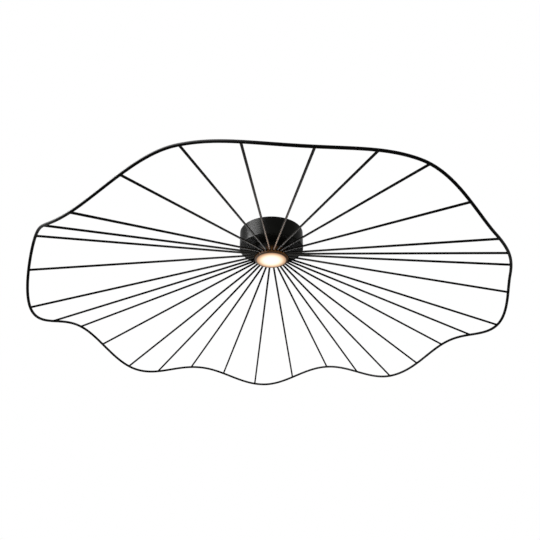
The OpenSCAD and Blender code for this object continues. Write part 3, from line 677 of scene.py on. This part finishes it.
# The camera of the photograph, fitted to its lines, in metres: below the light and in front, looking up,
# with a roll in degrees
cameraLook = {"lens": 38.0, "sensor": 36, "nearest": 0.01, "place": (0.0, -1.14043, -0.70848),
              "aim": (-0.00322, 0.0132, -0.08961), "roll": 0.06}
camera = bpy.data.objects.new("camera", bpy.data.cameras.new("camera"))
scene.collection.objects.link(camera)
camera.data.lens = cameraLook["lens"]
camera.data.sensor_width = cameraLook["sensor"]
camera.data.clip_start = cameraLook["nearest"]
camera.location = cameraLook["place"]
turn = (Vector(cameraLook["aim"]) - Vector(cameraLook["place"])).to_track_quat("-Z", "Y")
camera.rotation_euler = turn.to_euler()
camera.rotation_euler.rotate_axis("Z", math.radians(cameraLook["roll"]))
scene.camera = camera

# Lamps, in metres and watts, all unseen by the camera. The soft box at the upper left and the window below it
# draw the canopy's broad highlight and the bright line on its lower edge. The low one behind lifts the
# canopy's underside, the strip behind the hub gives the front rods their grey, and the wider one below it
# does so for the side rods. The small one at the mouth warms the two rods that point at the camera, and the
# gleam lies along the hoop's upper edge at the front left. Each draws gloss alone, and only on the pieces
# that it names.
lampAim = (0, 0, -0.05)
metalHub = ["canopy", "hub_drum", "bezel"]
frontRods = ["wire_31", "wire_32", "wire_01", "wire_02", "wire_03", "wire_04", "wire_05", "wire_06"]
sideRods = ["wire_07", "wire_08", "wire_09", "wire_10", "wire_27", "wire_28", "wire_29", "wire_30"]
lamps = {
    "leftBox": {"place": (-1.86, -0.91, 0.55), "size": (1.8, 1.4), "power": 750, "colour": "#ffffff",
                "only": metalHub},
    "leftWindow": {"place": (-2.2, -0.85, -0.2), "size": (1.4, 1.2), "power": 1500, "colour": "#ffffff",
                   "only": metalHub},
    "lowBack": {"place": (-0.7, 1.5, -0.95), "size": (1.6, 1.6), "power": 62, "colour": "#ffffff",
                "only": metalHub},
    "hubBack": {"place": (0, 0.12, -0.13), "size": (0.3, 0.04), "power": 1.2, "colour": "#ffffff",
                "only": frontRods},
    "mouthGleam": {"place": (0, 0.02, -0.095), "size": (0.05, 0.02), "power": 0.22, "colour": "#ffb478",
                   "only": ["wire_02", "wire_03"]},
    "hubSides": {"place": (0, -0.05, -0.22), "size": (0.28, 0.1), "power": 7.5, "colour": "#fffdf4",
                 "only": sideRods},
    "hoopGleam": {"place": (-1.5, -0.7, 0.8), "size": (0.9, 0.9), "power": 1000, "colour": "#ffffff",
                  "only": ["hoop"]},
}


# An area lamp that shows only as gloss, and never to the camera
def glossLamp(name, shape, power, colour, place):
    light = bpy.data.lights.new(name, "AREA")
    light.shape = shape
    light.energy = power
    light.color = hexColour(colour)[:3]
    box = bpy.data.objects.new(name, light)
    scene.collection.objects.link(box)
    box.location = place
    box.visible_camera = False
    box.visible_diffuse = False
    return box


for name, lamp in lamps.items():
    box = glossLamp(name, "RECTANGLE", lamp["power"], lamp["colour"], lamp["place"])
    box.data.size, box.data.size_y = lamp["size"]
    box.rotation_euler = (Vector(lampAim) - Vector(lamp["place"])).to_track_quat("-Z", "Y").to_euler()
    lit = bpy.data.collections.new(name + "Lights")
    for piece in lamp["only"]:
        lit.objects.link(bpy.data.objects[piece])
    box.light_linking.receiver_collection = lit

# The lit disc's own light, which faces down and runs along the rods near it
discLight = {"width": 0.066, "power": 0.8, "colour": "#ffdcb4", "place": (0, 0, -0.0732)}
glow = glossLamp("discLight", "DISK", discLight["power"], discLight["colour"], discLight["place"])
glow.data.size = discLight["width"]
print("lamps:", len(lamps) + 1, "set")

# White background for the camera, for glass and in reflections, and softer light for matt surfaces
worldLook = {"matt": 0.85, "seen": 1.0, "colour": "#ffffff"}
world = bpy.data.worlds.new("studio")
scene.world = world
world.use_nodes = True
worldTree = world.node_tree
path = addNode(worldTree, "LightPath", {}, {})
through = addNode(worldTree, "Math", {"operation": "MAXIMUM"},
                  {0: path.outputs["Is Camera Ray"], 1: path.outputs["Is Transmission Ray"]}).outputs[0]
seen = addNode(worldTree, "Math", {"operation": "MAXIMUM"},
               {0: through, 1: path.outputs["Is Glossy Ray"]}).outputs[0]
level = addNode(worldTree, "MapRange", {}, {"Value": seen, "To Min": worldLook["matt"],
                                            "To Max": worldLook["seen"]}).outputs["Result"]
worldTree.links.new(level, worldTree.nodes["Background"].inputs["Strength"])
worldTree.nodes["Background"].inputs["Color"].default_value = hexColour(worldLook["colour"])

# A pale matt floor, in metres, a room's height below the ceiling
floorLook = {"half": 6.0, "height": -2.4, "colour": "#f2f1ef", "rough": 0.8}
half = floorLook["half"]
square = ((-half, -half), (half, -half), (half, half), (-half, half))
corners = [(x, y, floorLook["height"]) for x, y in square]
floorMesh = bpy.data.meshes.new("floor")
floorMesh.from_pydata(corners, [], [(0, 1, 2, 3)])
floorPaint = startMaterial("paleFloor", {"Base Color": hexColour(floorLook["colour"]),
                                         "Roughness": floorLook["rough"]})[0]
floorMesh.materials.append(floorPaint)
floor = bpy.data.objects.new("floor", floorMesh)
scene.collection.objects.link(floor)

scene.view_settings.view_transform = "Standard"
